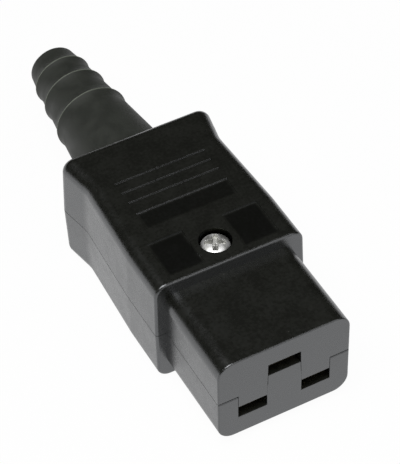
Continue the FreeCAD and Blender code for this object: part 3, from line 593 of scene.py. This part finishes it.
def screw_mesh(shape, seat, head, shank, pitch, depth_at, settings):
    """A pan-head screw: head radius and height, shank radius and length."""
    head_radius, head_height = head
    radius, length = shank
    segments = settings.segments
    rounding = 2.2

    def dome(x, y):
        share = min(1.0, math.hypot(x, y) / head_radius)
        rise = (1 - share ** rounding) ** (1 / rounding)
        return head_height * (0.42 + 0.58 * rise) + settings.crown

    rings = []
    steps = 56
    for i in range(steps + 1):
        reach = head_radius * max(0.012, i / steps)
        rings.append(ring(lambda angle: reach,
                          lambda x, y: dome(x, y) - depth_at(x, y, settings), segments))
    rings.append(ring(lambda angle: head_radius, lambda x, y: 0.08 * head_height, segments))
    rings.append(ring(lambda angle: head_radius * 0.97, lambda x, y: 0.0, segments))
    groove = pitch * 0.6
    turns = 10
    rows = round(length / pitch * turns)
    rings.append(ring(lambda angle: radius, lambda x, y: 0.0, segments))
    for i in range(1, rows + 1):
        down = length * i / rows
        ease = min(1.0, down / pitch, (length - down) / pitch)
        taper = max(0.0, down - (length - 1.2 * pitch)) * 0.5

        def thread(angle):
            phase = (down / pitch + angle / (2 * math.pi)) % 1.0
            return radius - taper - groove * ease * (1 - abs(2 * phase - 1))

        rings.append(ring(thread, lambda x, y: -down, segments))
    rows = add_rings(shape, rings)
    shape.faces.new(rows[0])
    shape.faces.new(rows[-1])
    # Faces deep in the recess take the second, darker material: painted shade.
    for face in shape.faces:
        middle = face.calc_center_median()
        if middle.z > 0 and depth_at(middle.x, middle.y, settings) > RECESS_START:
            face.material_index = 1
    bmesh.ops.translate(shape, verts=shape.verts, vec=seat)


def nut_mesh(shape, base, across_flats, thickness, bore, pitch, segments):
    """A hexagon nut with chamfered corners and a threaded bore."""
    corner = across_flats / 2 / math.cos(math.pi / 6)

    def outline(limit):
        def radius(angle):
            turn = angle % (math.pi / 3) - math.pi / 6
            return min(limit, across_flats / 2 / math.cos(turn))
        return radius

    chamfer = (corner - across_flats / 2) * 0.9
    rings = []
    for height, limit in ((0.0, corner - chamfer), (chamfer * 0.6, corner),
                          (thickness - chamfer * 0.6, corner), (thickness, corner - chamfer)):
        rings.append(ring(outline(limit), lambda x, y, z=height: z, segments))
    turns = 8
    rows = round(thickness / pitch * turns)
    for i in range(rows + 1):
        down = thickness * i / rows
        phase_depth = pitch * 0.25

        def thread(angle):
            phase = (down / pitch + angle / (2 * math.pi)) % 1.0
            return bore + phase_depth * abs(2 * phase - 1)

        rings.append(ring(thread, lambda x, y: thickness - down, segments))
    rings.append(rings[0])
    add_rings(shape, rings)
    bmesh.ops.translate(shape, verts=shape.verts, vec=base)


# -------------------------------------------------------------------- operators
class CONNECTOR_OT_mouldings(bpy.types.Operator):
    """Give the two housing halves their spark-eroded plastic"""

    bl_idname = "connector.mouldings"
    bl_label = "Finish the mouldings"

    def execute(self, context):
        plastic = moulded_plastic(context.scene.connector_moulding)
        for name in ("top_cover", "bottom_housing", "cable_clamp_bar"):
            finish_node(name, plastic)
        return {"FINISHED"}


class CONNECTOR_OT_sleeve(bpy.types.Operator):
    """Give the bend relief sleeve its rubber"""

    bl_idname = "connector.sleeve"
    bl_label = "Finish the sleeve"

    def execute(self, context):
        finish_node("bend_relief_sleeve", moulded_rubber(context.scene.connector_sleeve))
        return {"FINISHED"}


class CONNECTOR_OT_brassware(bpy.types.Operator):
    """Give contacts and terminals their brass and the springs their steel"""

    bl_idname = "connector.brassware"
    bl_label = "Finish the brassware"

    def execute(self, context):
        settings = context.scene.connector_metal
        brass = metal("stamped_brass", settings.brass, 0.3)
        steel = metal("spring_strip", settings.spring, 0.25)
        for pole in POLES:
            finish_node(f"{pole}_contact", brass)
            finish_node(f"{pole}_terminal", brass)
            finish_node(f"{pole}_contact_spring", steel)
        return {"FINISHED"}


class CONNECTOR_OT_screws(bpy.types.Operator):
    """Build the threaded screws and the captive nut in place of the plain ones"""

    bl_idname = "connector.screws"
    bl_label = "Build screws and nut"

    def execute(self, context):
        settings = context.scene.connector_screw
        metals = context.scene.connector_metal
        nickel = metal("bright_nickel", metals.nickel, metals.roughness)
        # Painted shade: a darker copy of the nickel for the faces deep in the recesses.
        shaded_nickel = metal("nickel_painted_shade", shade(metals.nickel, settings.recess_shadow_tone),
                     metals.roughness)
        finish = (nickel, shaded_nickel)
        self.build(settings, finish, "housing_screw", settings.machine_pitch, cross_depth)
        for side in ("left", "right"):
            self.build(settings, finish, f"clamp_screw_{side}", settings.tapping_pitch,
                       cross_depth)
        for pole in POLES:
            self.build(settings, finish, f"{pole}_terminal_screw", settings.machine_pitch,
                       slot_depth)
        low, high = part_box("housing_nut")
        base = Vector(((low.x + high.x) / 2, (low.y + high.y) / 2, low.z))
        piece_from("captive_nut",
                   lambda shape: nut_mesh(shape, base, high.y - low.y, high.z - low.z,
                                          NUT_BORE, settings.machine_pitch,
                                          settings.segments),
                   (nickel,), "plated_steel", "housing_nut")
        return {"FINISHED"}

    def build(self, settings, materials, name, pitch, depth_at):
        """One screw, its head and shank measured on the frame's own node."""
        head, shank, seat = measure_screw(name)
        piece_from(name + "_threaded",
                   lambda shape: screw_mesh(shape, seat, head, shank, pitch, depth_at,
                                            settings),
                   materials, "plated_steel", name)


def measure_screw(name):
    """Head and shank sizes of a plain screw node, and where its seat is."""
    points = [vertex.co for vertex in NODES[name].data.vertices]
    low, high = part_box(name)
    centre = Vector(((low.x + high.x) / 2, (low.y + high.y) / 2, 0))
    head_radius = (high.x - low.x) / 2
    wide = [p.z for p in points if (p.xy - centre.xy).length > head_radius * 0.98]
    seat = min(wide)
    narrow = [(p.xy - centre.xy).length for p in points if p.z < seat - 0.2 * MM]
    shank_radius = max(narrow)
    centre.z = seat
    return (head_radius, high.z - seat), (shank_radius, seat - low.z), centre


class CONNECTOR_OT_stage(bpy.types.Operator):
    """Make the floor, the lamps, the surroundings and the camera"""

    bl_idname = "connector.stage"
    bl_label = "Set the stage"

    def execute(self, context):
        settings = context.scene.connector_stage
        self.make_floor(settings)
        self.make_world(context.scene, settings)
        self.make_lamp("key_lamp", settings.key_power, KEY_SIZE, KEY_PLACE)
        self.make_lamp("fill_lamp", settings.fill_power, FILL_SIZE, FILL_PLACE)
        self.make_camera(context.scene, settings)
        context.scene.view_settings.view_transform = "Standard"
        return {"FINISHED"}

    def make_floor(self, settings):
        """A wide plain floor that keeps a soft shadow."""
        mesh = bpy.data.meshes.new("floor")
        reach = 3.0
        z = cad_low.z
        corners = [(-reach, -reach, z), (reach, -reach, z), (reach, reach, z), (-reach, reach, z)]
        mesh.from_pydata(corners, [], [(0, 1, 2, 3)])
        floor = bpy.data.objects.new("floor", mesh)
        bpy.context.scene.collection.objects.link(floor)
        material = bpy.data.materials.new("pale_floor")
        material.use_nodes = True
        tree = material.node_tree
        tree.nodes.clear()
        output = tree.nodes.new("ShaderNodeOutputMaterial")
        matte = tree.nodes.new("ShaderNodeBsdfDiffuse")
        matte.inputs["Color"].default_value = (*settings.floor_colour, 1)
        white = tree.nodes.new("ShaderNodeEmission")
        white.inputs["Strength"].default_value = 1.0
        path = tree.nodes.new("ShaderNodeLightPath")
        seen = math_node(tree, "MAXIMUM", path.outputs["Is Camera Ray"],
                         math_node(tree, "MAXIMUM", path.outputs["Is Glossy Ray"],
                                   path.outputs["Is Transmission Ray"]))
        share = math_node(tree, "MULTIPLY", seen, 1 - settings.floor_shadow)
        blend = tree.nodes.new("ShaderNodeMixShader")
        tree.links.new(share, blend.inputs["Fac"])
        tree.links.new(matte.outputs["BSDF"], blend.inputs[1])
        tree.links.new(white.outputs["Emission"], blend.inputs[2])
        tree.links.new(blend.outputs["Shader"], output.inputs["Surface"])
        mesh.materials.append(material)

    def make_world(self, scene, settings):
        """Plain, even surroundings."""
        world = bpy.data.worlds.new("surroundings")
        world.use_nodes = True
        background = world.node_tree.nodes["Background"]
        background.inputs["Color"].default_value = (1, 1, 1, 1)
        background.inputs["Strength"].default_value = settings.world_strength
        scene.world = world

    def make_lamp(self, name, power, size, place):
        """A square soft lamp that looks at the connector."""
        light = bpy.data.lights.new(name, "AREA")
        light.energy = power
        light.size = size
        lamp = bpy.data.objects.new(name, light)
        lamp.location = place
        lamp.rotation_euler = (-Vector(place)).to_track_quat("-Z", "Y").to_euler()
        bpy.context.scene.collection.objects.link(lamp)

    def make_camera(self, scene, settings):
        """The camera, turned about its target."""
        a, e, roll = settings.azimuth, settings.elevation, settings.roll
        back = Vector((math.sin(a) * math.cos(e), -math.cos(a) * math.cos(e), math.sin(e)))
        right = (-back).cross(Vector((0, 0, 1))).normalized()
        up = right.cross(-back)
        across = math.cos(roll) * right + math.sin(roll) * up
        upright = math.cos(roll) * up - math.sin(roll) * right
        data = bpy.data.cameras.new("camera")
        data.lens = settings.lens
        data.sensor_width = 36.0
        data.clip_start, data.clip_end = 0.01, 10.0
        camera = bpy.data.objects.new("camera", data)
        place = Vector(settings.target) + back * settings.distance
        camera.matrix_world = Matrix.Translation(place) @ Matrix(
            (across, upright, back)).transposed().to_4x4()
        scene.collection.objects.link(camera)
        scene.camera = camera


class CONNECTOR_PT_panel(bpy.types.Panel):
    """The connector's settings and steps"""

    bl_label = "Connector"
    bl_idname = "CONNECTOR_PT_panel"
    bl_space_type = "VIEW_3D"
    bl_region_type = "UI"
    bl_category = "Connector"

    def draw(self, context):
        for title, owner, steps in SECTIONS:
            box = self.layout.box()
            box.label(text=title)
            settings = getattr(context.scene, owner)
            for name in settings.__annotations__:
                box.prop(settings, name)
            for step in steps:
                box.operator(step)


SETTINGS = (
    ("connector_moulding", MouldingSettings),
    ("connector_sleeve", SleeveSettings),
    ("connector_metal", MetalSettings),
    ("connector_screw", ScrewSettings),
    ("connector_stage", StageSettings),
)
SECTIONS = (
    ("Mouldings", "connector_moulding", ("connector.mouldings",)),
    ("Sleeve", "connector_sleeve", ("connector.sleeve",)),
    ("Metals", "connector_metal", ("connector.brassware",)),
    ("Screws", "connector_screw", ("connector.screws",)),
    ("Stage", "connector_stage", ("connector.stage",)),
)
OPERATORS = (
    CONNECTOR_OT_mouldings,
    CONNECTOR_OT_sleeve,
    CONNECTOR_OT_brassware,
    CONNECTOR_OT_screws,
    CONNECTOR_OT_stage,
)


def register():
    """Register every class and hang the settings on the scene."""
    for name, group in SETTINGS:
        bpy.utils.register_class(group)
        setattr(bpy.types.Scene, name, PointerProperty(type=group))
    for operator in OPERATORS:
        bpy.utils.register_class(operator)
    bpy.utils.register_class(CONNECTOR_PT_panel)


def unregister():
    """Take everything out again, last in first."""
    bpy.utils.unregister_class(CONNECTOR_PT_panel)
    for operator in reversed(OPERATORS):
        bpy.utils.unregister_class(operator)
    for name, group in reversed(SETTINGS):
        delattr(bpy.types.Scene, name)
        bpy.utils.unregister_class(group)


def main():
    """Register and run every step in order."""
    register()
    bpy.ops.connector.mouldings()
    bpy.ops.connector.sleeve()
    bpy.ops.connector.brassware()
    bpy.ops.connector.screws()
    bpy.ops.connector.stage()


if __name__ == "__main__":
    main()
